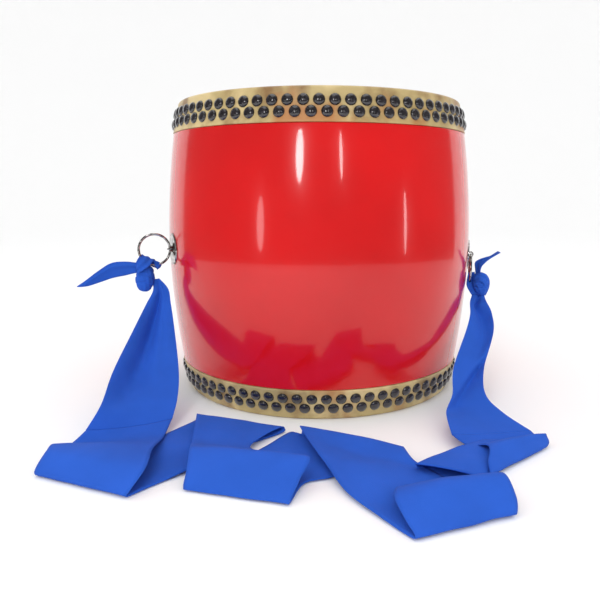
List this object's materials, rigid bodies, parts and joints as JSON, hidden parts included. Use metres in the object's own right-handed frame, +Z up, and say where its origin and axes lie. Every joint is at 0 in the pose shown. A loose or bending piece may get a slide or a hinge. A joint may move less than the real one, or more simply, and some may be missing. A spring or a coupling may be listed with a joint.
{
  "type": "eisa drum",
  "caption": "Red lacquered barrel drum with tacked hides, a chrome ring at each side and a long blue cotton sash knotted to the rings.",
  "frame": {"origin": "centre of the bottom head, on the floor", "axes": "+Z up along the barrel's axis, -Y towards the player's side where the sash lies, +X to the right seen from there"},
  "size_m": [0.5206, 0.6139, 0.358],
  "materials": {
    "red_lacquer": "gloss",
    "cow_hide": "satin",
    "black_iron": "satin",
    "chrome": "polished",
    "blue_cotton": "matte"
  },
  "bodies": {
    "root": {"barrel_shell": "red_lacquer", "top_hide": "cow_hide", "bottom_hide": "cow_hide", "top_outer_tacks": "black_iron", "top_inner_tacks": "black_iron", "bottom_outer_tacks": "black_iron", "bottom_inner_tacks": "black_iron", "left_ring_plate": "chrome", "right_ring_plate": "chrome", "left_split_pin": "chrome", "right_split_pin": "chrome", "left_sash_drop": "blue_cotton", "right_sash_drop": "blue_cotton", "floor_sash": "blue_cotton"},
    "left_ring_body": {"left_ring": "chrome", "left_knot": "blue_cotton", "left_sash_tail": "blue_cotton"},
    "right_ring_body": {"right_ring": "chrome", "right_knot": "blue_cotton", "right_sash_tail": "blue_cotton"}
  },
  "joints": [
    {"name": "left_ring_swing", "type": "hinge", "parent": "root", "child": "left_ring_body", "pos_m": [-0.18167, -0.08549, 0.1833], "axis": [0, 0, 1], "range_deg": [-60, 60], "deforming": ["left_sash_drop"]},
    {"name": "right_ring_swing", "type": "hinge", "parent": "root", "child": "right_ring_body", "pos_m": [0.19706, -0.0383, 0.1715], "axis": [0.1908, 0.9816, 0], "range_deg": [-75, 1], "deforming": ["right_sash_drop"]}
  ]
}
